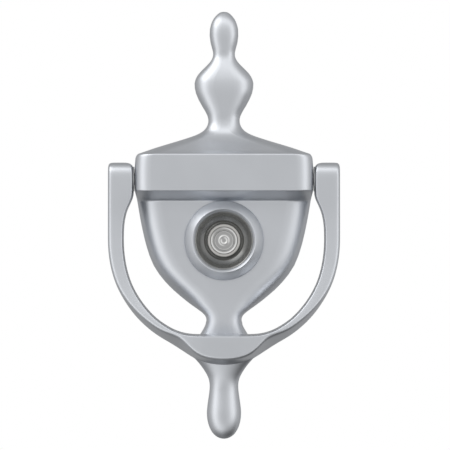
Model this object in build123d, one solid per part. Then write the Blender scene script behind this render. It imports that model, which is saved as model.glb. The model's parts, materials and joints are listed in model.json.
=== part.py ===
"""Urn-shaped door knocker with a door viewer through its middle.

Millimetres. The origin is the centre of the viewer bore on the door's outer face.
+Y points through the door to the inside, -Y to the visitor, +Z up and +X to the right.
"""
import os
from math import asin, copysign, cos, sin

from build123d import *

# Door and the parts that go through it
DOOR_THICKNESS = 44.0
GASKET_THICKNESS = 0.8
GASKET_INSET = 1.4
BOLT_CLEARANCE_RADIUS = 4.0
CASTING_BACK = -GASKET_THICKNESS

# Backplate casting: heights and front faces of its parts
BODY_FRONT = -11.0
BLOCK_FRONT = -20.0
BLOCK_HALF_WIDTH = 34.6
BLOCK_TOP = 33.4
BLOCK_BOTTOM = 19.2
BLOCK_SLOPE_FOOT = 15.7
FOOT_FRONT = -10.4
FOOT_BOTTOM = -45.0
BODY_CORNER_DEPTH = 5.5

# Each station is height, half width, front face, and how much of the half width is rounded
FINIAL_STATIONS = [
    (47.1, 6.00, -9.6, 0.66),
    (49.4, 6.80, -9.9, 0.62),
    (52.9, 8.80, -10.2, 0.56),
    (56.4, 10.50, -10.5, 0.50),
    (59.5, 11.35, -10.6, 0.46),
    (61.5, 11.35, -10.6, 0.46),
    (63.7, 10.60, -10.3, 0.48),
    (65.7, 9.30, -9.8, 0.52),
    (68.3, 6.40, -8.8, 0.60),
    (70.5, 4.85, -8.2, 0.66),
    (73.0, 4.30, -8.0, 0.70),
    (75.5, 4.80, -8.4, 0.68),
    (78.5, 5.40, -8.9, 0.66),
    (81.5, 5.50, -9.0, 0.66),
    (84.2, 5.10, -8.6, 0.68),
    (86.5, 3.80, -7.6, 0.72),
    (88.2, 1.90, -6.0, 0.76),
]
FINIAL_TIP = (0, -3.4, 89.3)

SHOULDER_STATIONS = [
    (33.4, 33.60, -20.0, 0.19),
    (35.0, 29.60, -17.2, 0.22),
    (37.4, 21.60, -14.0, 0.28),
    (39.8, 14.20, -11.8, 0.38),
    (42.2, 8.60, -10.5, 0.56),
    (44.6, 6.60, -9.8, 0.64),
    (47.1, 6.00, -9.6, 0.66),
]

BODY_STATIONS = [
    (BLOCK_SLOPE_FOOT, 33.80, BODY_FRONT, 0.22),
    (8.0, 32.50, BODY_FRONT, 0.23),
    (0.0, 30.80, BODY_FRONT, 0.24),
    (-7.0, 28.60, BODY_FRONT, 0.26),
    (-13.0, 25.20, BODY_FRONT, 0.29),
    (-18.0, 21.10, BODY_FRONT, 0.34),
    (-22.5, 15.90, BODY_FRONT, 0.42),
    (-26.2, 11.05, BODY_FRONT, 0.50),
    (-28.8, 7.80, BODY_FRONT, 0.58),
    (-31.0, 6.90, -10.8, 0.62),
    (-33.5, 7.40, -10.6, 0.60),
    (-36.5, 9.20, FOOT_FRONT, 0.54),
    (-40.0, 11.20, FOOT_FRONT, 0.50),
    (-43.0, 12.00, -10.0, 0.50),
    (FOOT_BOTTOM, 11.60, -8.6, 0.52),
]

# Cells cored out of the back of the casting: width and height, place and depth
BLOCK_CELL = (15.0, 12.0)
BLOCK_CELL_PITCH = 16.8
BLOCK_CELL_HEIGHT = 25.0
BLOCK_CELL_DEPTH = 15.5
SIDE_CELL = (12.0, 19.0)
SIDE_CELL_CENTRE = (22.0, 2.0)
LOWER_CELL = (13.0, 7.0)
LOWER_CELL_HEIGHT = -20.0
BODY_CELL_DEPTH = 6.6
CELL_CORNER_RADIUS = 2.0

# Through-door fixing bolts, M5
BOLT_HEIGHTS = (57.0, -35.0)
BOLT_SHANK_RADIUS = 2.5
BOLT_THREAD_RADIUS = 2.2
BOLT_NECK_RADIUS = 2.2
TAPPED_HOLE_RADIUS = 2.22
BOLT_TIP = -6.6
TAPPED_HOLE_DEPTH = 6.4
BOLT_HEAD_RADIUS = 4.6
BOLT_HEAD_HEIGHT = 2.4
BOLT_SLOT_WIDTH = 1.2
BOLT_SLOT_DEPTH = 1.2
CUP_WASHER_RADIUS = 7.5
CUP_WASHER_THICKNESS = 1.6
CAP_RADIUS = 6.2
CAP_WALL = 0.7
CAP_HEIGHT = 4.0

# Handle and its pivot
PIVOT_Y = -11.5
PIVOT_Z = 23.8
LUG_INNER_X = 35.3
LUG_OUTER_X = 44.9
LUG_RADIUS = 6.4
PIN_RADIUS = 2.2
PIN_INNER_X = 25.5
PIN_OUTER_X = 41.4
BUSH_RADIUS = 3.3
BUSH_FLANGE_RADIUS = 4.8
BUSH_GAP = 0.15
BUSH_OUTER_X = 41.9
RUNNING_CLEARANCE = 0.05
STRIKE_FACE = -10.75

# Viewer, on the Y axis
VIEWER_BOSS_RADIUS = 15.4
VIEWER_RIM_RADIUS = 11.85
VIEWER_BOSS_FRONT = -14.4
VIEWER_SEAT_RADIUS = 11.2
VIEWER_SEAT = -7.6
BARREL_RADIUS = 7.0
BARREL_HOLE_RADIUS = 7.3
BARREL_NOSE_RADIUS = 6.2
BARREL_NOSE = -11.0
BARREL_FLANGE_RADIUS = 10.4
BARREL_FLANGE = -9.1
BARREL_END = 34.0
BARREL_THREAD_RADIUS = 6.15
LENS_BORE_RADIUS = 5.4
LENS_RADIUS = 5.35
LENS_SHOULDER = 4.0
LENS_SHOULDER_END = 5.6
LENS_SHOULDER_RADIUS = 4.5
RETAINING_RING_BORE = 4.1
LENS_SPACER_BORE = 4.6
BEZEL_LIP_RADIUS = 10.8
BEZEL_LIP_FRONT = -15.0
BEZEL_BORE_RADIUS = 6.25
BEZEL_DISH_FLOOR = -10.9

# Indoor side of the viewer
EYEPIECE_RADIUS = 6.08
EYEPIECE_BORE = 5.1
EYEPIECE_START = 14.0
EYEPIECE_FLANGE_RADIUS = 8.6
EYEPIECE_FLANGE_THICKNESS = 1.6
COIN_SLOT_WIDTH = 1.6
COIN_SLOT_DEPTH = 0.8
ROSE_RADIUS = 16.5
ROSE_THICKNESS = 1.2
COVER_PIVOT_Z = 12.6
COVER_RADIUS = 10.0
COVER_THICKNESS = 1.0
COVER_RIVET_RADIUS = 1.2
COVER_RIVET_HEAD_RADIUS = 2.6
COVER_WASHER_RADIUS = 2.5
COVER_SEAT = DOOR_THICKNESS + ROSE_THICKNESS + EYEPIECE_FLANGE_THICKNESS + 0.6


def turned(outline):
    """Solid of revolution about the Y axis from (radius, y) points."""
    profile = make_face(Polyline([*outline, outline[0]]))
    return revolve(profile, Axis.Y)


def tube(inner, outer, start, end):
    """Plain ring or tube about the Y axis."""
    return turned([(inner, start), (outer, start), (outer, end), (inner, end)])


def rod(radius, start, end):
    """Plain round bar about the Y axis."""
    return turned([(0, start), (radius, start), (radius, end), (0, end)])


def d_section(height, half_width, front, rounded):
    """Level section of the casting: flat back, upright sides and two rounded front corners."""
    corner_width = rounded * half_width
    corner_depth = min(BODY_CORNER_DEPTH, 0.75 * (CASTING_BACK - front))
    flat = half_width - corner_width
    shoulder = front + corner_depth
    right = EllipticalCenterArc((flat, shoulder), corner_width, corner_depth, 270)
    left = EllipticalCenterArc((-flat, shoulder), corner_width, corner_depth, 180)
    outline = [
        Line((-half_width, CASTING_BACK), (half_width, CASTING_BACK)),
        Line((half_width, CASTING_BACK), (half_width, shoulder)),
        right,
        Line((flat, front), (-flat, front)),
        left,
        Line((-half_width, shoulder), (-half_width, CASTING_BACK)),
    ]
    return Pos(0, 0, height) * make_face(outline)


def lofted(stations, tip=None, ruled=False):
    """Casting body through level sections, closed by a point where a tip is given."""
    sections = [d_section(*station) for station in stations]
    if tip is not None:
        sections.append(Vertex(*tip))
    return loft(sections, ruled=ruled)


def cross_block():
    """Block between the lugs, with its sloped underside."""
    return lofted(
        [
            (BLOCK_SLOPE_FOOT, 33.8, BODY_FRONT, 0.22),
            (BLOCK_BOTTOM, BLOCK_HALF_WIDTH, BLOCK_FRONT, 0.19),
            (BLOCK_TOP, BLOCK_HALF_WIDTH - 0.4, BLOCK_FRONT, 0.19),
        ],
        ruled=True,
    )


def cored_cell(x, z, size, depth):
    """One hollow cell cast into the back."""
    width, height = size
    cell = Box(width, depth, height)
    cell = fillet(cell.edges().filter_by(Axis.Y), CELL_CORNER_RADIUS)
    return Pos(x, CASTING_BACK - depth / 2, z) * cell


def cored_cells():
    """All the hollow cells behind the block and the body."""
    cells = [
        cored_cell(step * BLOCK_CELL_PITCH, BLOCK_CELL_HEIGHT, BLOCK_CELL, BLOCK_CELL_DEPTH)
        for step in (-1, 0, 1)
    ]
    side_x, side_z = SIDE_CELL_CENTRE
    cells += [cored_cell(side * side_x, side_z, SIDE_CELL, BODY_CELL_DEPTH) for side in (-1, 1)]
    cells.append(cored_cell(0, LOWER_CELL_HEIGHT, LOWER_CELL, BODY_CELL_DEPTH))
    return cells


def viewer_boss():
    """Raised conical boss round the viewer."""
    return turned(
        [
            (0, BODY_FRONT + 2),
            (VIEWER_BOSS_RADIUS, BODY_FRONT + 2),
            (VIEWER_BOSS_RADIUS, BODY_FRONT),
            (VIEWER_BOSS_RADIUS - 1.2, BODY_FRONT - 1.4),
            (VIEWER_RIM_RADIUS, VIEWER_BOSS_FRONT),
            (0, VIEWER_BOSS_FRONT),
        ]
    )


def along_x(radius, start, end):
    """Round bar along X on the handle's pivot axis."""
    bar = Rot(0, 90, 0) * Cylinder(radius, end - start)
    return Pos((start + end) / 2, PIVOT_Y, PIVOT_Z) * bar


def urn_backplate():
    """The whole casting, cored from behind, with its bores."""
    casting = lofted(BODY_STATIONS) + cross_block() + lofted(SHOULDER_STATIONS)
    casting += lofted(FINIAL_STATIONS, tip=FINIAL_TIP)
    casting += viewer_boss()
    casting -= cored_cells()
    casting -= rod(VIEWER_SEAT_RADIUS, VIEWER_BOSS_FRONT - 1, VIEWER_SEAT)
    casting -= rod(BARREL_HOLE_RADIUS, VIEWER_SEAT - 1, 1)
    for height in BOLT_HEIGHTS:
        hole = rod(TAPPED_HOLE_RADIUS, CASTING_BACK - TAPPED_HOLE_DEPTH, 1)
        casting -= Pos(0, 0, height) * hole
    for side in (-1, 1):
        ends = sorted((side * PIN_INNER_X, side * (BLOCK_HALF_WIDTH + 1)))
        casting -= along_x(PIN_RADIUS, *ends)
    return casting


def door_gasket():
    """Thin seal a little inside the casting's outline, with its holes."""
    stations = [*reversed(BODY_STATIONS), *SHOULDER_STATIONS[:-1], *FINIAL_STATIONS]
    right = [(half_width - GASKET_INSET, height) for height, half_width, _, _ in stations]
    left = [(-x, height) for x, height in reversed(right)]
    outline = make_face(Polyline([*right, *left, right[0]]))
    seal = extrude(Plane.XZ * outline, GASKET_THICKNESS)
    seal -= rod(BARREL_HOLE_RADIUS, -GASKET_THICKNESS - 1, 1)
    for height in BOLT_HEIGHTS:
        seal -= Pos(0, 0, height) * rod(BOLT_CLEARANCE_RADIUS, -GASKET_THICKNESS - 1, 1)
    return seal


def handle_front_outline():
    """Right half of the handle as seen by the visitor, in X and Z."""
    bottom = (0, -77.0)
    hammer_top = (0, -37.2)
    hammer_corner = (13.5, -37.0)
    arm_inside_low = (38.8, -3.0)
    arm_inside_high = (38.8, 6.4)
    neck = (LUG_INNER_X, 16.0)
    arm_outside = (LUG_OUTER_X, -3.0)
    inner_curve = Spline(
        hammer_corner, (19.6, -34.3), (25.4, -30.6), (31.8, -23.8), (36.2, -16.5), arm_inside_low,
        tangents=[(1, 0.05), (0, 1)],
    )
    lug_flank = Spline(arm_inside_high, (37.6, 11.6), neck, tangents=[(0, 1), (-0.6, 1)])
    outer_curve = Spline(
        arm_outside, (43.3, -12.5), (39.5, -21.5), (34.1, -29.6), (26.4, -36.6), (15.1, -43.6),
        (9.7, -48.3), (6.3, -52.9), (5.6, -56.6), (6.3, -63.0), (6.8, -66.9), (5.9, -71.8),
        (3.5, -75.8), bottom,
        tangents=[(0, -1), (-1, 0)],
    )
    straight_runs = [
        Line(bottom, hammer_top),
        Line(hammer_top, hammer_corner),
        Line(arm_inside_low, arm_inside_high),
        Line(neck, (LUG_INNER_X, 28.2)),
        Line((LUG_INNER_X, 28.2), (LUG_INNER_X + 2, 30.2)),
        Line((LUG_INNER_X + 2, 30.2), (LUG_OUTER_X - 1.2, 30.2)),
        Line((LUG_OUTER_X - 1.2, 30.2), (LUG_OUTER_X, 29.0)),
        Line((LUG_OUTER_X, 29.0), arm_outside),
    ]
    return make_face([inner_curve, lug_flank, outer_curve, *straight_runs])


def handle_side_outline():
    """The handle as seen from its end, in Y and Z: it bows forward down to the finger lip."""
    front_top = (PIVOT_Y - LUG_RADIUS, PIVOT_Z)
    back_top = (PIVOT_Y + LUG_RADIUS, PIVOT_Z)
    lip_top = (-25.6, -41.5)
    lip_edge = (-24.9, -46.6)
    lip_under = (-17.0, -48.6)
    strike_low = (STRIKE_FACE, -45.5)
    strike_high = (STRIKE_FACE, -37.5)
    front_curve = Spline(
        front_top, (-17.7, 8.0), (-18.6, -6.0), (-20.6, -20.0), (-23.2, -32.0), lip_top,
        tangents=[(0, -1), (-0.15, -1)],
    )
    tail_curve = Spline(
        lip_under, (-14.2, -54.0), (-14.0, -60.0), (-14.8, -67.0), (-12.6, -74.5), (-9.6, -77.5),
        (-6.8, -74.5), (-5.0, -67.0), (-6.2, -57.0), (-8.0, -50.0), strike_low,
    )
    back_curve = Spline(
        strike_high, (-12.4, -32.0), (-11.8, -20.0), (-9.6, -4.0), (-7.0, 10.0), back_top,
        tangents=[(-0.9, 1), (0, 1)],
    )
    outline = [
        ThreePointArc(back_top, (PIVOT_Y, PIVOT_Z + LUG_RADIUS), front_top),
        front_curve,
        Line(lip_top, lip_edge),
        Line(lip_edge, lip_under),
        tail_curve,
        Line(strike_low, strike_high),
        back_curve,
    ]
    return make_face(outline)


def knocker_handle():
    """Ring handle: its front outline cut to its side outline, with blind bores for the bushes."""
    depth = 40.0
    right_half = extrude(Plane.XZ * handle_front_outline(), depth)
    ring = right_half + mirror(right_half, Plane.YZ)
    side = extrude(Plane.YZ * handle_side_outline(), LUG_OUTER_X + 5, both=True)
    ring &= side
    for side_sign in (-1, 1):
        ends = sorted((side_sign * (LUG_INNER_X - 1), side_sign * BUSH_OUTER_X))
        ring -= along_x(BUSH_RADIUS, *ends)
    return ring


def pivot_pin(side):
    """Steel pin pressed into the block's end."""
    ends = sorted((side * PIN_INNER_X, side * PIN_OUTER_X))
    return along_x(PIN_RADIUS, *ends)


def pivot_bush(side):
    """Flanged nylon bush pressed into a lug, running on the pin."""
    flange_x = BLOCK_HALF_WIDTH + BUSH_GAP
    barrel = along_x(BUSH_RADIUS, *sorted((side * flange_x, side * BUSH_OUTER_X)))
    flange = along_x(BUSH_FLANGE_RADIUS, *sorted((side * flange_x, side * LUG_INNER_X)))
    bore_ends = sorted((side * (flange_x - 1), side * (PIN_OUTER_X + 0.2)))
    return barrel + flange - along_x(PIN_RADIUS + RUNNING_CLEARANCE, *bore_ends)


def viewer_barrel():
    """Flanged barrel through the door, with the lens bore and the eyepiece thread."""
    return turned(
        [
            (LENS_BORE_RADIUS, BARREL_NOSE),
            (BARREL_NOSE_RADIUS, BARREL_NOSE),
            (BARREL_NOSE_RADIUS, BARREL_FLANGE),
            (BARREL_FLANGE_RADIUS, BARREL_FLANGE),
            (BARREL_FLANGE_RADIUS, VIEWER_SEAT),
            (BARREL_RADIUS, VIEWER_SEAT),
            (BARREL_RADIUS, BARREL_END),
            (BARREL_THREAD_RADIUS, BARREL_END),
            (BARREL_THREAD_RADIUS, LENS_SHOULDER_END),
            (LENS_SHOULDER_RADIUS, LENS_SHOULDER_END),
            (LENS_SHOULDER_RADIUS, LENS_SHOULDER),
            (LENS_BORE_RADIUS, LENS_SHOULDER),
        ]
    )


def viewer_bezel():
    """Dished ring that hides the barrel's flange and lies in the boss."""
    return turned(
        [
            (VIEWER_SEAT_RADIUS, VIEWER_SEAT),
            (VIEWER_SEAT_RADIUS, BEZEL_LIP_FRONT + 0.5),
            (VIEWER_SEAT_RADIUS - 0.15, BEZEL_LIP_FRONT),
            (BEZEL_LIP_RADIUS, BEZEL_LIP_FRONT),
            (BEZEL_LIP_RADIUS - 0.5, BEZEL_LIP_FRONT + 1.0),
            (BEZEL_BORE_RADIUS, BEZEL_DISH_FLOOR),
            (BEZEL_BORE_RADIUS, BARREL_FLANGE),
            (BARREL_FLANGE_RADIUS + 0.05, BARREL_FLANGE),
            (BARREL_FLANGE_RADIUS + 0.05, VIEWER_SEAT),
        ]
    )


def spherical_arc(radius, rim, sag):
    """Arc from the axis to the rim of a spherical face that bulges by sag along Y."""
    ball = (radius**2 + sag**2) / (2 * abs(sag))
    half_angle = asin(radius / ball) / 2
    drop = copysign(ball * (1 - cos(half_angle)), sag)
    middle = rim + sag
    return ThreePointArc((0, middle), (ball * sin(half_angle), middle - drop), (radius, rim))


def lens(start, end, front_sag, back_sag, radius=LENS_RADIUS):
    """Turned lens between two rims: a positive sag bulges out, a negative one dishes in."""
    outline = [
        spherical_arc(radius, start, -front_sag),
        Line((radius, start), (radius, end)),
        spherical_arc(radius, end, back_sag),
        Line((0, end + back_sag), (0, start - front_sag)),
    ]
    return revolve(make_face(outline), Axis.Y)


def eyepiece_tube():
    """Threaded eyepiece tube with a flange that has two coin slots."""
    seat = DOOR_THICKNESS + ROSE_THICKNESS
    flange_face = seat + EYEPIECE_FLANGE_THICKNESS
    counterbore = EYEPIECE_BORE + 0.3
    body = turned(
        [
            (EYEPIECE_BORE, EYEPIECE_START),
            (EYEPIECE_RADIUS, EYEPIECE_START),
            (EYEPIECE_RADIUS, seat),
            (EYEPIECE_FLANGE_RADIUS, seat),
            (EYEPIECE_FLANGE_RADIUS, flange_face - 0.5),
            (EYEPIECE_FLANGE_RADIUS - 0.5, flange_face),
            (counterbore, flange_face),
            (counterbore, seat - 4.4),
            (EYEPIECE_BORE - 0.6, seat - 4.4),
            (EYEPIECE_BORE - 0.6, seat - 6.0),
            (EYEPIECE_BORE, seat - 6.0),
        ]
    )
    slot_length = 2 * EYEPIECE_FLANGE_RADIUS + 2
    slot = Box(slot_length, 2 * COIN_SLOT_DEPTH, COIN_SLOT_WIDTH)
    return body - Pos(0, flange_face, 0) * slot


def cover_rose():
    """Round indoor plate clamped by the eyepiece flange, with the hole for the cover's rivet."""
    back = DOOR_THICKNESS
    front = DOOR_THICKNESS + ROSE_THICKNESS
    plate = turned(
        [
            (EYEPIECE_RADIUS + 0.3, back),
            (ROSE_RADIUS, back),
            (ROSE_RADIUS, front - 0.5),
            (ROSE_RADIUS - 0.5, front),
            (EYEPIECE_RADIUS + 0.3, front),
        ]
    )
    return plate - Pos(0, 0, COVER_PIVOT_Z) * rod(COVER_RIVET_RADIUS, back - 1, front + 1)


def privacy_cover():
    """Drop-shaped flap hanging from the rivet in front of the eyepiece."""
    disc = rod(COVER_RADIUS, COVER_SEAT, COVER_SEAT + COVER_THICKNESS)
    ear = Pos(0, 0, COVER_PIVOT_Z) * rod(3.4, COVER_SEAT, COVER_SEAT + COVER_THICKNESS)
    neck = Pos(0, COVER_SEAT + COVER_THICKNESS / 2, 0.75 * COVER_PIVOT_Z) * Box(
        6.4, COVER_THICKNESS, 0.5 * COVER_PIVOT_Z
    )
    bore = rod(COVER_RIVET_RADIUS + RUNNING_CLEARANCE, COVER_SEAT - 1, COVER_SEAT + 3)
    return disc + ear + neck - Pos(0, 0, COVER_PIVOT_Z) * bore


def cover_rivet():
    """Shouldered rivet through the rose that the cover swings on."""
    collar_start = DOOR_THICKNESS + ROSE_THICKNESS
    head_start = COVER_SEAT + COVER_THICKNESS + 0.15
    rivet = turned(
        [
            (0, DOOR_THICKNESS),
            (COVER_RIVET_RADIUS, DOOR_THICKNESS),
            (COVER_RIVET_RADIUS, head_start),
            (COVER_RIVET_HEAD_RADIUS, head_start),
            (COVER_RIVET_HEAD_RADIUS - 0.4, head_start + 0.7),
            (1.2, head_start + 1.1),
            (0, head_start + 1.2),
        ]
    )
    return Pos(0, 0, COVER_PIVOT_Z) * rivet


def cover_washer():
    """Spacer washer that holds the cover clear of the eyepiece flange."""
    start = DOOR_THICKNESS + ROSE_THICKNESS
    ring = tube(COVER_RIVET_RADIUS, COVER_WASHER_RADIUS, start, COVER_SEAT - 0.15)
    return Pos(0, 0, COVER_PIVOT_Z) * ring


def at_bolts(piece):
    """The same piece at both fixing bolts."""
    return Compound(children=[Pos(0, 0, height) * piece for height in BOLT_HEIGHTS])


def fixing_bolt():
    """Slotted machine screw from indoors into the casting."""
    head_seat = DOOR_THICKNESS + CUP_WASHER_THICKNESS
    head_top = head_seat + BOLT_HEAD_HEIGHT
    bolt = turned(
        [
            (0, BOLT_TIP),
            (BOLT_THREAD_RADIUS - 0.5, BOLT_TIP),
            (BOLT_THREAD_RADIUS, BOLT_TIP + 0.5),
            (BOLT_THREAD_RADIUS, 0),
            (BOLT_SHANK_RADIUS, 0),
            (BOLT_SHANK_RADIUS, DOOR_THICKNESS),
            (BOLT_NECK_RADIUS, DOOR_THICKNESS),
            (BOLT_NECK_RADIUS, head_seat),
            (BOLT_HEAD_RADIUS, head_seat),
            (BOLT_HEAD_RADIUS, head_top - 0.8),
            (BOLT_HEAD_RADIUS - 0.8, head_top),
            (0, head_top),
        ]
    )
    slot = Box(2 * BOLT_HEAD_RADIUS + 1, 2 * BOLT_SLOT_DEPTH, BOLT_SLOT_WIDTH)
    return bolt - Pos(0, head_top, 0) * slot


def cup_washer():
    """Raised washer under the bolt head."""
    face = DOOR_THICKNESS + CUP_WASHER_THICKNESS
    return turned(
        [
            (BOLT_NECK_RADIUS + 0.2, DOOR_THICKNESS),
            (CUP_WASHER_RADIUS, DOOR_THICKNESS),
            (CUP_WASHER_RADIUS, DOOR_THICKNESS + 0.5),
            (CAP_RADIUS + 0.3, face),
            (BOLT_NECK_RADIUS + 0.2, face),
        ]
    )


def bolt_cap():
    """Domed cap snapped over the bolt head."""
    seat = DOOR_THICKNESS + CUP_WASHER_THICKNESS
    top = seat + CAP_HEIGHT
    inner = CAP_RADIUS - CAP_WALL
    return turned(
        [
            (inner, seat),
            (CAP_RADIUS, seat),
            (CAP_RADIUS, top - 1.8),
            (CAP_RADIUS - 0.7, top - 0.7),
            (CAP_RADIUS - 2.4, top),
            (0, top),
            (0, top - CAP_WALL),
            (inner - 2.0, top - CAP_WALL),
            (inner - 0.5, top - CAP_WALL - 0.6),
            (inner, top - 1.9),
        ]
    )


def parts():
    """Every node by name."""
    ring_back = BARREL_NOSE + 1.2
    eyepiece_seat = DOOR_THICKNESS + ROSE_THICKNESS - 4.4
    return {
        "urn_backplate": urn_backplate(),
        "door_gasket": door_gasket(),
        "knocker_handle": knocker_handle(),
        "left_pivot_pin": pivot_pin(-1),
        "right_pivot_pin": pivot_pin(1),
        "left_pivot_bush": pivot_bush(-1),
        "right_pivot_bush": pivot_bush(1),
        "viewer_barrel": viewer_barrel(),
        "viewer_bezel": viewer_bezel(),
        "lens_retaining_ring": tube(RETAINING_RING_BORE, LENS_RADIUS, BARREL_NOSE, ring_back),
        "front_lens": lens(ring_back, ring_back + 1.8, -0.5, -0.6),
        "front_lens_spacer": tube(LENS_SPACER_BORE, LENS_RADIUS, ring_back + 1.8, -3.6),
        "second_lens": lens(-3.6, -2.2, -0.6, -0.4),
        "rear_lens_spacer": tube(LENS_SPACER_BORE, LENS_RADIUS, -2.2, 1.4),
        "third_lens": lens(1.4, LENS_SHOULDER, -0.6, -0.3),
        "eyepiece_tube": eyepiece_tube(),
        "eyepiece_lens": lens(
            eyepiece_seat, eyepiece_seat + 1.6, -0.3, 1.2, EYEPIECE_BORE + 0.25
        ),
        "eyepiece_lens_ring": tube(
            4.6, EYEPIECE_BORE + 0.25, eyepiece_seat + 1.95, eyepiece_seat + 4.4
        ),
        "cover_rose": cover_rose(),
        "privacy_cover": privacy_cover(),
        "cover_rivet": cover_rivet(),
        "cover_washer": cover_washer(),
        "fixing_bolts": at_bolts(fixing_bolt()),
        "cup_washers": at_bolts(cup_washer()),
        "bolt_caps": at_bolts(bolt_cap()),
    }


os.makedirs("parts", exist_ok=True)
for node, shape in parts().items():
    export_step(shape, f"parts/{node}.step")
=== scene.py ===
"""Looks of the urn door knocker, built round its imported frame. Its tables are in millimetres."""
import json

import bmesh
import bpy
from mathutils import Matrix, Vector


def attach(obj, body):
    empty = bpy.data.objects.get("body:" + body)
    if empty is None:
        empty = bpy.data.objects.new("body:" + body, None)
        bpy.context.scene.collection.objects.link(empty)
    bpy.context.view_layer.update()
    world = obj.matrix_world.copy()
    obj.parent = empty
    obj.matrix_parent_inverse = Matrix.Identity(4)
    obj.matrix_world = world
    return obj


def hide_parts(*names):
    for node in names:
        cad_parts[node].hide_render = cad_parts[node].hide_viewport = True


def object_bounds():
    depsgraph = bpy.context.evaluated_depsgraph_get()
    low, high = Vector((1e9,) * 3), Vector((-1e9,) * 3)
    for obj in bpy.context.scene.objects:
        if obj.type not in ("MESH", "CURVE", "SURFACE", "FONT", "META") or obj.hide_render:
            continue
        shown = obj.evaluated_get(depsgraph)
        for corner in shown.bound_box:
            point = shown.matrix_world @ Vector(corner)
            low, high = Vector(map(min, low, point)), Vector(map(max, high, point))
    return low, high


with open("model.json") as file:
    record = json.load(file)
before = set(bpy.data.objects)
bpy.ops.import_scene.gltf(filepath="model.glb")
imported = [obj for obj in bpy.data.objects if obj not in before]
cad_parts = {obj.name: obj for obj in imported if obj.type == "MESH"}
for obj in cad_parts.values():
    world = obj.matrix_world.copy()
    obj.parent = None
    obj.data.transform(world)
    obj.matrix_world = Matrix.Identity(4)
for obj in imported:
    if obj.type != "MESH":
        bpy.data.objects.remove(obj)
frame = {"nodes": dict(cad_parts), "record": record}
cad_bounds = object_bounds()

MM = 0.001
# Places this close are one place, in metres
SAME = 0.00002
# Two shares or factors this close are equal
EQUAL = 1e-6
QUARTER_TURN = 1.5707963
FULL_TURN = 6.2831853
# Edges that turn by more than this stay crisp, on cast pieces and on turned or joined ones
CAST_CREASE = 0.9
TURNED_CREASE = 0.6
SMOOTH_LEVELS = 2

# The casting's level sections: the flat back, the first section's corner as a share of its half width,
# a corner's depth as a share of its width, and the steps in a corner and across the front
CASTING_BACK = -0.8
SECTION_CORNER = 0.85
CORNER_FLATNESS = 0.62
CORNER_STEPS = 6
FRONT_COLUMNS = 5
# Its stations, from foot to tip: height, half width, front face, rounded share of the half width
FOOT = [
    (-45.0, 10.2, -9.0, 0.76),
    (-44.6, 11.6, -10.0, 0.76),
    (-42.6, 12.0, -10.5, 0.76),
    (-39.5, 11.0, -10.55, 0.76),
    (-36.5, 9.2, -10.6, 0.76),
    (-34.2, 7.8, -10.85, 0.76),
    (-32.4, 7.0, -11.0, 0.76),
    (-30.6, 6.75, -11.0, 0.76),
    (-29.2, 7.3, -11.0, 0.76),
    (-27.9, 8.7, -11.0, 0.76),
]
SHIELD = [
    (-26.2, 11.15, -11.0, 0.72),
    (-24.4, 13.75, -11.0, 0.72),
    (-22.2, 16.5, -11.0, 0.67),
    (-19.4, 19.8, -11.0, 0.59),
    (-16.4, 22.75, -11.0, 0.5),
    (-13.2, 25.35, -11.0, 0.43),
    (-9.8, 27.5, -11.0, 0.38),
    (-6.0, 29.1, -11.0, 0.345),
    (-1.5, 30.5, -11.0, 0.32),
    (4.0, 31.8, -11.0, 0.3),
    (10.0, 32.95, -11.0, 0.29),
    (14.6, 33.7, -11.0, 0.28),
    (15.5, 33.85, -11.05, 0.27),
    (16.0, 33.95, -11.7, 0.26),
]
BLOCK = [
    (18.8, 34.45, -19.0, 0.2),
    (19.15, 34.5, -19.75, 0.19),
    (19.35, 34.5, -20.0, 0.19),
    (20.2, 34.55, -20.0, 0.19),
    (26.0, 34.6, -20.0, 0.19),
    (31.6, 34.45, -20.0, 0.19),
    (32.7, 34.0, -20.0, 0.19),
    (33.35, 33.5, -20.0, 0.19),
    (33.65, 33.0, -19.6, 0.2),
]
SHOULDER = [
    (34.5, 30.6, -18.3, 0.286),
    (35.9, 26.8, -16.7, 0.312),
    (37.4, 21.9, -14.9, 0.364),
    (38.9, 17.0, -13.3, 0.429),
    (40.4, 12.3, -12.0, 0.546),
    (41.7, 9.2, -11.1, 0.676),
    (43.2, 7.3, -10.5, 0.78),
    (45.0, 6.25, -10.1, 0.832),
]
VASE = [
    (46.8, 6.0, -9.9, 0.84),
    (48.4, 6.35, -9.9, 0.84),
    (50.2, 7.2, -10.1, 0.8),
    (52.6, 8.65, -10.4, 0.75),
    (55.0, 9.95, -10.6, 0.71),
    (57.4, 10.95, -10.8, 0.67),
    (59.4, 11.4, -10.8, 0.66),
    (61.4, 11.5, -10.7, 0.66),
    (63.0, 11.05, -10.5, 0.67),
    (64.6, 10.15, -10.2, 0.71),
    (66.4, 8.5, -9.8, 0.78),
    (68.2, 6.55, -9.3, 0.83),
    (69.8, 5.1, -8.8, 0.84),
]
BULB = [
    (71.4, 4.3, -8.4, 0.84),
    (73.0, 4.15, -8.3, 0.86),
    (74.8, 4.6, -8.6, 0.84),
    (77.2, 5.25, -9.0, 0.82),
    (80.0, 5.6, -9.2, 0.8),
    (82.6, 5.5, -9.1, 0.82),
    (84.8, 4.9, -8.7, 0.84),
    (86.6, 3.95, -8.0, 0.89),
    (88.0, 2.7, -7.0, 0.9),
    (89.1, 1.2, -5.8, 0.9),
]

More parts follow.
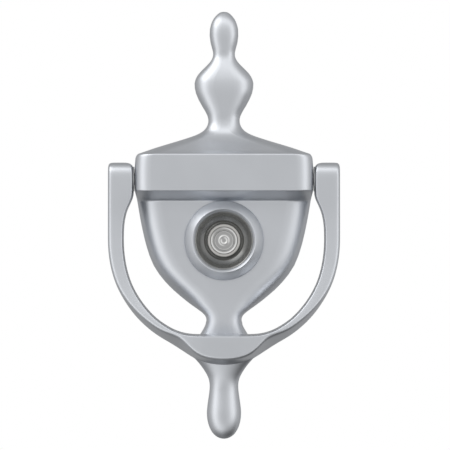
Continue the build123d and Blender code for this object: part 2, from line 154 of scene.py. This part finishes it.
# The handle's right half, from the lug's top to the middle of the hammer. Each station has the x and z
# of the inner edge, the front ridge and the outer edge, then the front and the back in y.
HANDLE = [
    ((37.6, 30.2), (43.4, 30.2), (43.4, 30.2), -13.2, -9.4),
    ((36.3, 29.9), (44.4, 29.9), (44.4, 29.9), -15.4, -7.4),
    ((35.2, 28.9), (44.85, 28.9), (44.85, 28.9), -16.9, -6.0),
    ((35.0, 27.0), (44.9, 27.0), (44.9, 27.0), -17.9, -5.3),
    ((35.0, 23.6), (44.9, 23.6), (44.9, 23.6), -18.0, -5.1),
    ((35.0, 19.6), (44.9, 19.6), (44.9, 19.6), -18.0, -5.5),
    ((35.0, 17.0), (44.9, 17.0), (44.9, 17.0), -18.0, -6.1),
    ((36.4, 14.0), (44.9, 14.2), (44.9, 14.2), -18.0, -6.9),
    ((37.7, 11.2), (44.9, 11.2), (44.9, 11.2), -18.0, -7.6),
    ((38.6, 7.0), (44.9, 7.0), (44.9, 7.0), -18.1, -8.4),
    ((38.8, 2.0), (44.9, 2.0), (44.9, 2.0), -18.4, -9.2),
    ((38.7, -3.6), (44.8, -3.6), (44.9, -3.6), -18.9, -9.9),
    ((37.9, -9.6), (43.9, -9.8), (44.1, -9.8), -19.5, -10.5),
    ((36.2, -15.8), (42.0, -16.2), (42.4, -16.3), -20.2, -11.1),
    ((33.4, -21.3), (38.9, -21.9), (39.5, -22.2), -21.0, -11.6),
    ((30.0, -26.0), (34.6, -26.9), (35.8, -27.9), -21.9, -12.0),
    ((26.1, -30.1), (29.7, -31.2), (31.5, -32.6), -22.8, -12.2),
    ((22.2, -32.75), (24.6, -34.8), (26.2, -36.9), -23.5, -12.2),
    ((19.2, -34.4), (20.2, -36.15), (21.6, -39.5), -24.1, -12.1),
    ((16.5, -35.36), (17.0, -37.5), (17.8, -41.9), -24.5, -11.9),
    ((13.6, -36.0), (14.4, -40.2), (14.6, -44.0), -24.8, -11.6),
    ((10.4, -36.2), (11.2, -43.4), (11.4, -46.0), -25.0, -11.2),
    ((7.0, -36.2), (7.6, -45.1), (7.8, -48.0), -25.2, -10.9),
    ((3.4, -36.2), (3.6, -45.8), (3.8, -49.0), -25.3, -10.8),
    ((0.0, -36.2), (0.0, -46.0), (0.0, -49.4), -25.3, -10.8),
]
INNER_DRAFT = 0.45
EDGE_ROUNDING = {"inner": 0.45, "ridge": 1.4, "outer": 1.0, "back": 0.8}
EDGE_STEPS = 3
MIDDLE_MERGE = 0.2

# The tail under the hammer: points round its section, then height, half width, front and back
TAIL_POINTS = 24
TAIL = [
    (-42.0, 14.0, -17.6, -11.4),
    (-44.2, 12.9, -17.28, -11.12),
    (-46.2, 10.9, -16.75, -10.45),
    (-48.4, 9.0, -16.09, -9.61),
    (-50.8, 7.35, -15.37, -8.83),
    (-53.2, 6.05, -14.67, -8.13),
    (-55.4, 5.55, -14.27, -7.73),
    (-57.8, 5.6, -14.05, -7.35),
    (-60.6, 6.0, -14.21, -6.9),
    (-63.6, 6.45, -14.46, -6.54),
    (-66.6, 6.8, -14.71, -6.29),
    (-69.4, 6.6, -14.63, -6.37),
    (-71.8, 6.0, -14.28, -6.72),
    (-73.8, 5.1, -13.68, -7.32),
    (-75.4, 3.9, -12.81, -8.08),
    (-76.5, 2.3, -11.78, -9.02),
    (-76.95, 0.7, -10.84, -10.06),
]

# Turned pieces, as radius and y. A ring of the pole radius merges into one point.
POLE = 0.004
CIRCLE_POINTS = 96
BOSS = [
    (9.0, -9.0),
    (15.45, -9.0),
    (15.45, -12.0),
    (15.3, -12.35),
    (15.05, -12.6),
    (12.5, -14.35),
    (12.25, -14.5),
    (12.05, -14.4),
    (11.1, -13.4),
    (9.0, -13.2),
]
# The bore in the boss that the dish sits in
SEAT = [(POLE, -6.0), (11.2, -6.0), (11.2, -20.0), (POLE, -20.0)]
BEZEL = [
    (11.2, -8.0),
    (11.2, -13.6),
    (11.1, -13.75),
    (10.95, -13.7),
    (10.6, -13.25),
    (9.6, -12.1),
    (8.8, -11.35),
    (8.0, -10.75),
    (7.1, -10.05),
    (6.35, -9.3),
    (6.3, -8.0),
]
# The lens, from the middle of its back to the middle of its stepped face
LENS = [
    (POLE, -7.5),
    (6.25, -7.5),
    (6.25, -10.2),
    (6.1, -10.45),
    (5.85, -10.45),
    (5.6, -10.0),
    (5.4, -10.0),
    (5.15, -10.3),
    (4.55, -10.15),
    (4.35, -10.1),
    (4.2, -10.4),
    (3.9, -10.4),
    (3.7, -10.05),
    (2.9, -9.9),
    (2.2, -9.95),
    (1.8, -10.2),
    (1.3, -10.2),
    (0.9, -9.95),
    (POLE, -9.85),
]
# Indoors, the cover's pieces and the bolts' washers and caps
ROSE = [
    (6.4, 44.0),
    (16.5, 44.0),
    (16.5, 44.65),
    (16.3, 45.05),
    (15.9, 45.2),
    (15.0, 45.2),
    (14.75, 44.95),
    (14.35, 44.95),
    (14.1, 45.2),
    (6.4, 45.2),
]
COVER = [
    (POLE, 47.4),
    (9.85, 47.4),
    (10.0, 47.55),
    (10.0, 48.2),
    (9.8, 48.4),
    (8.9, 48.4),
    (8.6, 48.1),
    (8.1, 48.0),
    (4.0, 48.15),
    (POLE, 48.2),
]
COVER_EAR = [
    (1.3, 47.45),
    (3.3, 47.45),
    (3.4, 47.6),
    (3.4, 48.15),
    (3.2, 48.3),
    (1.3, 48.3),
]
COVER_NECK = ((-3.1, 47.5, 6.4), (3.1, 48.2, 11.2))
COVER_PIVOT = 12.6
RIVET = [
    (POLE, 44.0),
    (1.2, 44.0),
    (1.2, 48.55),
    (2.6, 48.55),
    (2.6, 48.8),
    (2.35, 49.2),
    (1.8, 49.55),
    (1.0, 49.72),
    (POLE, 49.75),
]
BOLT_HEIGHTS = (57.0, -35.0)
CUP_WASHER = [
    (2.4, 44.0),
    (7.5, 44.0),
    (7.5, 44.35),
    (7.3, 44.6),
    (7.0, 44.8),
    (6.8, 45.3),
    (6.5, 45.6),
    (2.4, 45.6),
]
BOLT_CAP = [
    (POLE, 48.8),
    (4.6, 48.5),
    (5.5, 47.8),
    (5.5, 45.6),
    (6.05, 45.6),
    (6.2, 45.8),
    (6.2, 47.2),
    (5.95, 48.05),
    (5.4, 48.75),
    (4.5, 49.25),
    (3.0, 49.5),
    (POLE, 49.6),
]
# Brightness of the studio by direction, from behind the object to in front of it, and from below
FRONT_TO_BACK = [
    (0.0, 0.46),
    (0.28, 0.52),
    (0.46, 0.6),
    (0.60, 0.66),
    (0.70, 0.72),
    (0.78, 1.22),
    (0.86, 1.75),
    (0.92, 1.3),
    (0.96, 0.80),
    (1.0, 0.70),
]
BELOW_TO_ABOVE = [
    (0.0, 0.46),
    (0.1, 0.5),
    (0.2, 0.85),
    (0.42, 0.97),
    (0.72, 1.0),
    (0.9, 0.86),
    (1.0, 0.95),
]
KEY_DIRECTION = (-0.56, -0.46, 0.69)
KEY_SPREAD = [(0.0, 0.0), (0.945, 0.0), (0.98, 1.3), (1.0, 1.5)]
DIM_DIRECTION = (0.5, -0.42, -0.76)
DIM_SPREAD = [(0.0, 1.0), (0.88, 1.0), (0.96, 0.4), (1.0, 0.35)]
CAMERA_DISTANCE = 1.3
PICTURE_SPAN = 0.1744
SENSOR = 36.0
AIM = (0.0004, -0.012, 0.006)
FLOOR_SIZE = 4.0
FLOOR_DROP = 0.25
FLOOR_TONE = (0.95, 0.95, 0.95)
# Metal tones, and the strength of the satin grain
SILVER = (0.612, 0.632, 0.664)
NICKEL = (0.62, 0.61, 0.59)
SATIN_GRAIN = 0.05
# How close the noises are, in waves to the metre, and how deep their bumps are, in metres
SATIN_FINE = 3800.0
SATIN_CLOUD = 55.0
TURNED_CLOUD = 220.0
GLASS_SMEAR = 400.0
SATIN_BUMP = 0.0001
TURNED_BUMP = 0.00005
PLASTIC_BUMP = 0.0002
# The darker tone in a satin cloud, as a share, and the glass where it is smeared and where it is clean
CLOUD_SHADE = 0.965
SMEARED_GLASS = (0.86, 0.9, 0.9)
CLEAN_GLASS = (0.95, 0.97, 0.97)


def only(piece):
    """Make one piece the active one, and select nothing else."""
    bpy.ops.object.select_all(action="DESELECT")
    piece.select_set(True)
    bpy.context.view_layer.objects.active = piece


def pick(test):
    """Select the vertices that pass a test on their place."""
    mesh = bmesh.from_edit_mesh(bpy.context.object.data)
    bpy.ops.mesh.select_all(action="DESELECT")
    for vertex in mesh.verts:
        vertex.select = test(vertex.co)
    mesh.select_flush(True)
    bmesh.update_edit_mesh(bpy.context.object.data)

def pick_edges(test):
    """Select the edges whose two ends pass a test on their place."""
    mesh = bmesh.from_edit_mesh(bpy.context.object.data)
    bpy.ops.mesh.select_all(action="DESELECT")
    for edge in mesh.edges:
        if test(edge.verts[0].co) and test(edge.verts[1].co):
            edge.select = True
    bmesh.update_edit_mesh(bpy.context.object.data)

def near(place):
    """A test for vertices at one place."""
    return lambda co: (co - place).length < SAME


def start(name):
    """Name the new primitive and open it for editing."""
    piece = bpy.context.object
    piece.name = name
    piece.data.name = name
    bpy.ops.object.mode_set(mode="EDIT")
    bpy.ops.mesh.select_mode(type="VERT")
    return piece


def close(piece, smooth_angle=CAST_CREASE, levels=0):
    """Leave edit mode with outward faces, then smooth the piece."""
    bpy.ops.mesh.select_all(action="SELECT")
    bpy.ops.mesh.remove_doubles(threshold=SAME / 2)
    bpy.ops.mesh.normals_make_consistent(inside=False)
    bpy.ops.object.mode_set(mode="OBJECT")
    only(piece)
    if levels:
        smooth = piece.modifiers.new("smooth", "SUBSURF")
        smooth.levels = levels
        smooth.render_levels = levels
        bpy.ops.object.modifier_apply(modifier="smooth")
    bpy.ops.object.shade_smooth_by_angle(angle=smooth_angle)
    return piece


def boolean(piece, other, operation):
    """Join or cut one piece with another, which is used up."""
    only(piece)
    cut = piece.modifiers.new("boolean", "BOOLEAN")
    cut.operation = operation
    cut.solver = "EXACT"
    cut.object = other
    bpy.ops.object.modifier_apply(modifier="boolean")
    bpy.data.objects.remove(other)
    bpy.ops.object.shade_smooth_by_angle(angle=TURNED_CREASE)


def turned(name, profile, closed=True, height=0.0):
    """A round piece about a line along Y: a circle extruded and resized through its profile."""
    radius, place = profile[0]
    bpy.ops.object.select_all(action="DESELECT")
    bpy.ops.mesh.primitive_circle_add(
        vertices=CIRCLE_POINTS,
        radius=radius * MM,
        location=(0, place * MM, height * MM),
        rotation=(QUARTER_TURN, 0, 0),
    )
    only(bpy.context.object)
    bpy.ops.object.transform_apply(location=True, rotation=True, scale=True)
    piece = start(name)
    steps = [*profile[1:], profile[0]] if closed else profile[1:]
    bpy.ops.mesh.select_all(action="SELECT")
    for next_radius, next_place in steps:
        bpy.ops.mesh.extrude_region_move(
            TRANSFORM_OT_translate={"value": (0, (next_place - place) * MM, 0)}
        )
        factor = next_radius / radius
        if abs(factor - 1) > EQUAL:
            bpy.ops.transform.resize(
                value=(factor, 1, factor), center_override=(0, next_place * MM, height * MM)
            )
        radius, place = next_radius, next_place
    return close(piece, smooth_angle=TURNED_CREASE)


def rounded_section(name, corner):
    """A flat unit section, 2 wide and 1 deep, with rounded front corners, in the level plane."""
    bpy.ops.object.select_all(action="DESELECT")
    bpy.ops.mesh.primitive_plane_add(size=2)
    piece = start(name)
    bpy.ops.mesh.select_all(action="SELECT")
    bpy.ops.transform.resize(value=(1, 0.5, 1))
    bpy.ops.transform.translate(value=(0, -0.5, 0))
    pick(lambda co: co.y < -0.5)
    bpy.ops.mesh.bevel(offset=corner, segments=CORNER_STEPS, affect="VERTICES")
    bpy.ops.mesh.select_mode(type="EDGE")
    pick_edges(lambda co: co.y < SAME - 1)
    bpy.ops.mesh.subdivide(number_cuts=FRONT_COLUMNS)
    bpy.ops.mesh.select_mode(type="VERT")
    return piece


def resize_group(test, factor, centre):
    """Widen or narrow some of the vertices about a centre."""
    pick(test)
    bpy.ops.transform.resize(value=(factor, 1, 1), center_override=centre)


def corner_share(station):
    """How much of a section's depth its rounded corners take."""
    _, half_width, front, rounded = station
    return min(SECTION_CORNER, CORNER_FLATNESS * rounded * half_width / (CASTING_BACK - front))


def stacked(name, stations):
    """The casting's mesh: its level section, extruded upwards from station to station."""
    piece = rounded_section(name, SECTION_CORNER)
    height, half_width, front, rounded = stations[0]
    depth = CASTING_BACK - front
    bpy.ops.mesh.select_all(action="SELECT")
    bpy.ops.transform.resize(value=(half_width * MM, depth * MM, 1), center_override=(0, 0, 0))
    bpy.ops.transform.translate(value=(0, CASTING_BACK * MM, height * MM))
    reshape(stations[0], SECTION_CORNER, SECTION_CORNER)
    for previous, station in zip(stations, stations[1:]):
        next_height, next_width, next_front, next_rounded = station
        top = height * MM
        pick(lambda co: abs(co.z - top) < SAME)
        bpy.ops.mesh.extrude_region_move(
            TRANSFORM_OT_translate={"value": (0, 0, (next_height - height) * MM)}
        )
        next_depth = CASTING_BACK - next_front
        bpy.ops.transform.resize(
            value=(next_width / half_width, next_depth / depth, 1),
            center_override=(0, CASTING_BACK * MM, next_height * MM),
        )
        reshape(station, rounded, corner_share(previous))
        height, half_width, depth, rounded = next_height, next_width, next_depth, next_rounded
    return piece


def reshape(station, old_share, old_depth_share):
    """Change how much of the top section's half width and depth its rounded corners take."""
    height, half_width, front, new_share = station
    top = height * MM
    half = half_width * MM
    flat = half * (1 - old_share)
    new_depth_share = corner_share(station)
    at_top = lambda co: abs(co.z - top) < SAME
    if abs(old_depth_share - new_depth_share) > EQUAL:
        pick(lambda co: at_top(co) and co.y < CASTING_BACK * MM - SAME)
        bpy.ops.transform.resize(
            value=(1, new_depth_share / old_depth_share, 1), center_override=(0, front * MM, top)
        )
    if abs(old_share - new_share) < EQUAL:
        return
    resize_group(
        lambda co: at_top(co) and abs(co.x) < flat - SAME, (1 - new_share) / (1 - old_share), (0, 0, top)
    )
    for side in (-1, 1):
        resize_group(
            lambda co: at_top(co) and side * co.x > flat - SAME,
            new_share / old_share,
            (side * half, 0, top),
        )


def urn_casting():
    """The whole casting: stacked sections, crisp at the back, with the viewer boss and its bore."""
    piece = stacked("urn_casting", [*FOOT, *SHIELD, *BLOCK, *SHOULDER, *VASE, *BULB])
    back = CASTING_BACK * MM
    bpy.ops.mesh.select_mode(type="EDGE")
    pick_edges(lambda co: co.y > back - SAME)
    bpy.ops.transform.edge_crease(value=1)
    bpy.ops.mesh.select_mode(type="VERT")
    close(piece, levels=SMOOTH_LEVELS)
    boolean(piece, turned("boss", BOSS), "UNION")
    boolean(piece, turned("seat", SEAT, closed=False), "DIFFERENCE")
    return piece


def corners(station):
    """The four corners of one section of the handle."""
    inner, ridge, outer, front, back = station
    across = Vector((ridge[0] - inner[0], 0, ridge[1] - inner[1])).normalized() * INNER_DRAFT
    return {
        "inner": (Vector((inner[0], front, inner[1])) + across) * MM,
        "ridge": Vector((ridge[0], front, ridge[1])) * MM,
        "outer": Vector((outer[0], back, outer[1])) * MM,
        "back": Vector((inner[0], back, inner[1])) * MM,
    }


def handle_half():
    """The handle's right half: a four-cornered section extruded through its stations."""
    bpy.ops.object.select_all(action="DESELECT")
    bpy.ops.mesh.primitive_plane_add(size=2)
    piece = start("ring_handle")
    names = list(EDGE_ROUNDING)
    square = ((-1, -1, 0), (1, -1, 0), (1, 1, 0), (-1, 1, 0))
    section = dict(zip(names, map(Vector, square)))
    lines = {name: [] for name in names}
    for number, station in enumerate(HANDLE):
        target = corners(station)
        if number:
            shift = sum((target[name] - section[name] for name in names), Vector()) / 4
            bpy.ops.mesh.extrude_region_move(TRANSFORM_OT_translate={"value": shift})
            section = {name: section[name] + shift for name in names}
        for name in names:
            pick(near(section[name]))
            bpy.ops.transform.translate(value=target[name] - section[name])
            lines[name].append(target[name])
        section = target
        pick(lambda co: any((co - place).length < SAME for place in section.values()))
    bpy.ops.mesh.delete(type="ONLY_FACE")
    bpy.ops.mesh.select_mode(type="EDGE")
    for name, width in EDGE_ROUNDING.items():
        line = lines[name]
        pick_edges(lambda co: any((co - place).length < SAME for place in line))
        bpy.ops.mesh.bevel(offset=width * MM, segments=EDGE_STEPS, affect="EDGES")
    bpy.ops.mesh.select_mode(type="VERT")
    bpy.ops.object.mode_set(mode="OBJECT")
    only(piece)
    twin = piece.modifiers.new("twin", "MIRROR")
    twin.use_clip = True
    twin.merge_threshold = MIDDLE_MERGE * MM
    bpy.ops.object.modifier_apply(modifier="twin")
    bpy.ops.object.mode_set(mode="EDIT")
    return close(piece, levels=SMOOTH_LEVELS)


def handle_tail():
    """The tail under the hammer, as stacked oval sections."""
    bpy.ops.object.select_all(action="DESELECT")
    bpy.ops.mesh.primitive_circle_add(vertices=TAIL_POINTS, radius=1, fill_type="NGON")
    piece = start("tail")
    height, half_width, front, back = TAIL[0]
    depth = back - front
    middle = (front + back) / 2
    bpy.ops.mesh.select_all(action="SELECT")
    bpy.ops.transform.resize(value=(half_width * MM, depth / 2 * MM, 1))
    bpy.ops.transform.translate(value=(0, middle * MM, height * MM))
    for next_height, next_width, next_front, next_back in TAIL[1:]:
        next_depth = next_back - next_front
        next_middle = (next_front + next_back) / 2
        move = (0, (next_middle - middle) * MM, (next_height - height) * MM)
        bpy.ops.mesh.extrude_region_move(TRANSFORM_OT_translate={"value": move})
        bpy.ops.transform.resize(
            value=(next_width / half_width, next_depth / depth, 1),
            center_override=(0, next_middle * MM, next_height * MM),
        )
        height, half_width, depth, middle = next_height, next_width, next_depth, next_middle
    return close(piece, levels=SMOOTH_LEVELS)


def cover_flap():
    """The privacy cover: a dished disc with a neck up to the ear that its rivet goes through."""
    flap = turned("cover_flap", COVER, closed=False)
    low, high = (Vector(corner) * MM for corner in COVER_NECK)
    bpy.ops.object.select_all(action="DESELECT")
    bpy.ops.mesh.primitive_cube_add(size=1)
    neck = start("cover_neck")
    bpy.ops.mesh.select_all(action="SELECT")
    bpy.ops.transform.resize(value=high - low)
    bpy.ops.transform.translate(value=(low + high) / 2)
    boolean(flap, close(neck), "UNION")
    boolean(flap, turned("cover_ear", COVER_EAR, height=COVER_PIVOT), "UNION")
    return flap


class Value:
    """A shader value that Python's operators work on; each one adds a Math node."""

    def __init__(self, shader, socket):
        self.shader = shader
        self.socket = socket

    def math(self, operation, first, second):
        node = self.shader.node("ShaderNodeMath", {"operation": operation}, {0: first, 1: second})
        return Value(self.shader, node.outputs[0])

    def __add__(self, other):
        return self.math("ADD", self, other)

    def __mul__(self, other):
        return self.math("MULTIPLY", self, other)

    def __sub__(self, other):
        return self.math("SUBTRACT", self, other)

    def __rsub__(self, other):
        return self.math("SUBTRACT", other, self)

    __radd__ = __add__
    __rmul__ = __mul__


class Shader:
    """A node tree with one method that makes any node."""

    def __init__(self, tree):
        self.tree = tree

    def node(self, kind, settings=None, inputs=None):
        node = self.tree.nodes.new(kind)
        for key, value in (settings or {}).items():
            setattr(node, key, value)
        for key, value in (inputs or {}).items():
            self.feed(node.inputs[key], value)
        return node

    def feed(self, socket, value):
        if isinstance(value, Value):
            value = value.socket
        if isinstance(value, bpy.types.NodeSocket):
            self.tree.links.new(value, socket)
        else:
            socket.default_value = value

    def noise(self, place, scale, detail=2.0):
        node = self.node("ShaderNodeTexNoise", {}, {"Vector": place, "Scale": scale, "Detail": detail})
        return Value(self, node.outputs["Fac"])

    def ramp(self, value, stops):
        node = self.node("ShaderNodeValToRGB", {}, {"Fac": value})
        elements = node.color_ramp.elements
        while len(elements) < len(stops):
            elements.new(0.5)
        for element, (position, level) in zip(elements, stops):
            element.position = position
            element.color = (level, level, level, 1)
        return Value(self, node.outputs["Color"])


def new_material(name):
    """An empty material with its Principled shader, and its Object coordinates."""
    material = bpy.data.materials.new(name)
    material.use_nodes = True
    shader = Shader(material.node_tree)
    surface = material.node_tree.nodes["Principled BSDF"]
    place = shader.node("ShaderNodeTexCoord").outputs["Object"]
    return material, shader, surface, place


def tinted(shader, amount, dark, light):
    """A colour between two, by a value from 0 to 1."""
    mix = shader.node("ShaderNodeMix", {"data_type": "RGBA"}, {0: amount, 6: (*dark, 1), 7: (*light, 1)})
    return mix.outputs[2]


def satin_metal(name, tone, roughness):
    """Satin plate: fine blasted grain, faint clouds in colour and gloss."""
    material, shader, surface, place = new_material(name)
    fine = shader.noise(place, SATIN_FINE, 3.0)
    cloud = shader.noise(place, SATIN_CLOUD)
    dark = [CLOUD_SHADE * level for level in tone]
    light = [1.03 * level for level in tone]
    shader.feed(surface.inputs["Base Color"], tinted(shader, cloud, dark, light))
    shader.feed(surface.inputs["Roughness"], 0.10 * fine + 0.08 * cloud + (roughness - 0.09))
    bump = shader.node("ShaderNodeBump", {}, {"Strength": SATIN_GRAIN, "Distance": SATIN_BUMP, "Height": fine})
    shader.feed(surface.inputs["Normal"], bump.outputs["Normal"])
    surface.inputs["Metallic"].default_value = 1.0
    return material


def turned_metal(name, tone, roughness, pitch=0.00035, depth=0.12):
    """Turned plate: fine rings about the viewer's axis from the lathe."""
    material, shader, surface, place = new_material(name)
    flat = shader.node("ShaderNodeMapping", {}, {"Vector": place, "Scale": (1, 0, 1)})
    radius = shader.node("ShaderNodeVectorMath", {"operation": "LENGTH"}, {0: flat.outputs[0]})
    rings = Value(shader, radius.outputs["Value"]) * (FULL_TURN / pitch)
    wave = shader.node("ShaderNodeMath", {"operation": "SINE"}, {0: rings})
    cloud = shader.noise(place, TURNED_CLOUD)
    dark = [0.9 * level for level in tone]
    shader.feed(surface.inputs["Base Color"], tinted(shader, cloud, dark, tone))
    shader.feed(surface.inputs["Roughness"], 0.10 * cloud + (roughness - 0.05))
    bump = shader.node(
        "ShaderNodeBump", {}, {"Strength": depth, "Distance": TURNED_BUMP, "Height": wave.outputs[0]}
    )
    shader.feed(surface.inputs["Normal"], bump.outputs["Normal"])
    surface.inputs["Metallic"].default_value = 1.0
    return material


def glass(name):
    """Clear lens glass with faint smears."""
    material, shader, surface, place = new_material(name)
    smear = shader.noise(place, GLASS_SMEAR)
    shader.feed(surface.inputs["Base Color"], tinted(shader, smear, SMEARED_GLASS, CLEAN_GLASS))
    shader.feed(surface.inputs["Roughness"], 0.05 * smear + 0.02)
    surface.inputs["Transmission Weight"].default_value = 1.0
    surface.inputs["IOR"].default_value = 1.52
    return material


def plastic(name, tone, roughness, grain=0.2, scale=1800.0, shade=0.8):
    """Moulded plastic or foam rubber with a fine texture."""
    material, shader, surface, place = new_material(name)
    fine = shader.noise(place, scale, 3.0)
    dark = [shade * level for level in tone]
    shader.feed(surface.inputs["Base Color"], tinted(shader, fine, dark, tone))
    shader.feed(surface.inputs["Roughness"], 0.12 * fine + (roughness - 0.06))
    bump = shader.node("ShaderNodeBump", {}, {"Strength": grain, "Distance": PLASTIC_BUMP, "Height": fine})
    shader.feed(surface.inputs["Normal"], bump.outputs["Normal"])
    return material


def toward(shader, direction, target):
    """How far a direction turns towards a target, from 0 to 1."""
    dot = shader.node("ShaderNodeVectorMath", {"operation": "DOT_PRODUCT"}, {0: direction, 1: target})
    return Value(shader, dot.outputs["Value"]) * 0.5 + 0.5


def studio_light():
    """White to the camera; bright in front, brighter to the sides, dim behind and below."""
    world = bpy.data.worlds.new("studio")
    bpy.context.scene.world = world
    world.use_nodes = True
    tree = world.node_tree
    tree.nodes.clear()
    shader = Shader(tree)
    direction = shader.node("ShaderNodeTexCoord").outputs["Generated"]
    axes = shader.node("ShaderNodeSeparateXYZ", {}, {0: direction})
    forward = Value(shader, axes.outputs["Y"]) * -0.5 + 0.5
    upward = Value(shader, axes.outputs["Z"]) * 0.5 + 0.5
    around = shader.ramp(forward, FRONT_TO_BACK)
    height = shader.ramp(upward, BELOW_TO_ABOVE)
    key = shader.ramp(toward(shader, direction, KEY_DIRECTION), KEY_SPREAD)
    dim = shader.ramp(toward(shader, direction, DIM_DIRECTION), DIM_SPREAD)
    level = around * height * dim + key
    soft = shader.node("ShaderNodeBackground", {}, {"Color": level.socket, "Strength": 1.0})
    plain = shader.node("ShaderNodeBackground", {}, {"Color": (1, 1, 1, 1), "Strength": 1.0})
    seen = shader.node("ShaderNodeLightPath").outputs["Is Camera Ray"]
    mix = shader.node("ShaderNodeMixShader", {}, {0: seen, 1: soft.outputs[0], 2: plain.outputs[0]})
    output = shader.node("ShaderNodeOutputWorld")
    tree.links.new(mix.outputs[0], output.inputs[0])


def camera():
    """A long lens, square on to the door."""
    data = bpy.data.cameras.new("camera")
    data.sensor_width = SENSOR
    data.lens = SENSOR * CAMERA_DISTANCE / PICTURE_SPAN
    data.clip_end = 20
    eye = bpy.data.objects.new("camera", data)
    eye.location = (AIM[0], AIM[1] - CAMERA_DISTANCE, AIM[2])
    eye.rotation_euler = (QUARTER_TURN, 0, 0)
    bpy.context.collection.objects.link(eye)
    bpy.context.scene.camera = eye


def floor():
    """A plain pale floor below the object."""
    bpy.ops.object.select_all(action="DESELECT")
    bpy.ops.mesh.primitive_plane_add(size=FLOOR_SIZE, location=(0, 0, cad_bounds[0].z - FLOOR_DROP))
    plane = bpy.context.object
    plane.name = "floor"
    plane.visible_glossy = False
    plane.data.materials.append(plastic("floor_paint", FLOOR_TONE, 0.8, grain=0.02, scale=300.0, shade=0.985))


def finish_piece(piece, body, slot, material, *nodes):
    """Give a new piece its material, its body and the CAD nodes that it stands for."""
    piece.data.materials.clear()
    piece.data.materials.append(material)
    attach(piece, body)
    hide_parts(*nodes)


bpy.context.scene.view_settings.view_transform = "Standard"
camera()
studio_light()
floor()

materials = {
    "satin_casting": satin_metal("satin_chrome", SILVER, 0.37),
    "satin_handle": satin_metal("satin_chrome_handle", SILVER, 0.37),
    # The dish's dark tone, about half the plate's, is painted shade: the colour is darkened to stand in for
    # the shade and dark reflections inside its recess
    "polished_bezel": turned_metal("polished_dish_painted_shade", (0.31, 0.312, 0.305), 0.24, depth=0.03),
    "viewer_metal": turned_metal("turned_nickel", NICKEL, 0.3),
    "indoor_metal": satin_metal("satin_nickel", NICKEL, 0.33),
    "rose_plate": turned_metal("turned_rose", NICKEL, 0.3, pitch=0.0005, depth=0.25),
    "steel": satin_metal("zinc_plate", (0.5, 0.51, 0.53), 0.4),
    "nylon": plastic("grey_nylon", (0.42, 0.43, 0.44), 0.5),
    "lens_glass": glass("lens_glass"),
    "lens_face": turned_metal("lens_face", (0.5, 0.5, 0.495), 0.22, pitch=0.0012, depth=0.35),
    "black_spacer": plastic("black_spacer", (0.03, 0.03, 0.03), 0.6),
    "gasket_foam": plastic("gasket_foam", (0.05, 0.05, 0.05), 0.85, grain=0.4, scale=1200.0),
}
for subpart in frame["record"]["subparts"]:
    node = frame["nodes"][subpart["node"]]
    node.data.materials.clear()
    node.data.materials.append(materials[subpart["material_slot"]])

finish_piece(urn_casting(), "backplate", "satin_casting", materials["satin_casting"], "urn_backplate")
handle = handle_half()
boolean(handle, handle_tail(), "UNION")
finish_piece(handle, "handle", "satin_handle", materials["satin_handle"], "knocker_handle")
dish = turned("dished_bezel", BEZEL)
finish_piece(dish, "backplate", "polished_bezel", materials["polished_bezel"], "viewer_bezel")
finish_piece(
    turned("stepped_lens", LENS, closed=False),
    "backplate",
    "lens_glass",
    materials["lens_face"],
    "front_lens",
    "lens_retaining_ring",
)

rose = turned("grooved_rose", ROSE)
finish_piece(rose, "eyepiece", "indoor_metal", materials["rose_plate"], "cover_rose")
finish_piece(cover_flap(), "cover", "indoor_metal", materials["indoor_metal"], "privacy_cover")
rivet = turned("domed_rivet", RIVET, closed=False, height=COVER_PIVOT)
finish_piece(rivet, "eyepiece", "steel", materials["steel"], "cover_rivet")
for place, height in zip(("upper", "lower"), BOLT_HEIGHTS):
    washer = turned(f"{place}_cup_washer", CUP_WASHER, height=height)
    finish_piece(washer, "backplate", "indoor_metal", materials["indoor_metal"], "cup_washers")
    cap = turned(f"{place}_domed_cap", BOLT_CAP, closed=False, height=height)
    finish_piece(cap, "backplate", "indoor_metal", materials["indoor_metal"], "bolt_caps")
